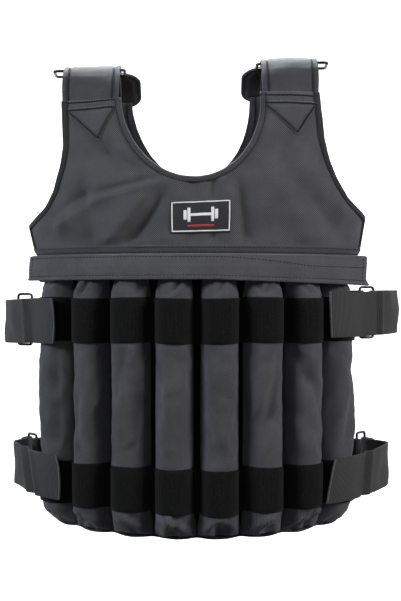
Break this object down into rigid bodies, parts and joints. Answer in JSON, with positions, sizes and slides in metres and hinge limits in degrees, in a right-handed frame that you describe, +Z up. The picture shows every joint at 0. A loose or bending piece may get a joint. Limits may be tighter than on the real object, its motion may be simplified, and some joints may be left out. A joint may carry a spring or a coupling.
{
  "type": "weighted vest",
  "caption": "Weighted training vest of padded cloth with upright weight pockets and a flap, joined by webbing and wire rings.",
  "frame": {"origin": "midway between the two shoulders, where the undersides of the shoulder straps rest", "axes": "+Z up along the worn vest, +Y from its front to its back, +X to the right as the front is looked at"},
  "size_m": [0.4606, 0.2825, 0.5318],
  "materials": {
    "cloth": "charcoal woven nylon",
    "loop_tape": "black loop pile",
    "webbing": "ribbed nylon webbing",
    "binding_tape": "black woven tape",
    "steel_wire": "dark steel wire",
    "label": "black woven patch"
  },
  "bodies": {
    "root": {"back_armhole_binding_left": "binding_tape", "back_armhole_binding_right": "binding_tape", "back_flap": "cloth", "back_hem_binding": "binding_tape", "back_neck_binding": "binding_tape", "back_panel": "cloth", "back_pocket_1": "cloth", "back_pocket_2": "cloth", "back_pocket_3": "cloth", "back_pocket_4": "cloth", "back_pocket_5": "cloth", "back_pocket_6": "cloth", "back_pocket_7": "cloth", "back_pocket_8": "cloth", "back_shoulder_strap_left": "binding_tape", "back_shoulder_strap_right": "binding_tape", "chest_label": "label", "front_armhole_binding_left": "binding_tape", "front_armhole_binding_right": "binding_tape", "front_flap": "cloth", "front_flap_seam": "binding_tape", "front_hem_binding": "binding_tape", "front_loop_band_lower": "loop_tape", "front_loop_band_upper": "loop_tape", "front_neck_binding": "binding_tape", "front_panel": "cloth", "front_pocket_1": "cloth", "front_pocket_2": "cloth", "front_pocket_3": "cloth", "front_pocket_4": "cloth", "front_pocket_5": "cloth", "front_pocket_6": "cloth", "front_pocket_7": "cloth", "front_pocket_8": "cloth", "front_shoulder_strap_left": "cloth", "front_shoulder_strap_right": "cloth", "shoulder_ring_left": "steel_wire", "shoulder_ring_right": "steel_wire", "side_ring_lower_left": "steel_wire", "side_ring_lower_right": "steel_wire", "side_ring_upper_left": "steel_wire", "side_ring_upper_right": "steel_wire", "side_strap_lower_left": "webbing", "side_strap_lower_right": "webbing", "side_strap_upper_left": "webbing", "side_strap_upper_right": "webbing", "side_tab_lower_left": "webbing", "side_tab_lower_right": "webbing", "side_tab_upper_left": "webbing", "side_tab_upper_right": "webbing"}
  },
  "joints": []
}
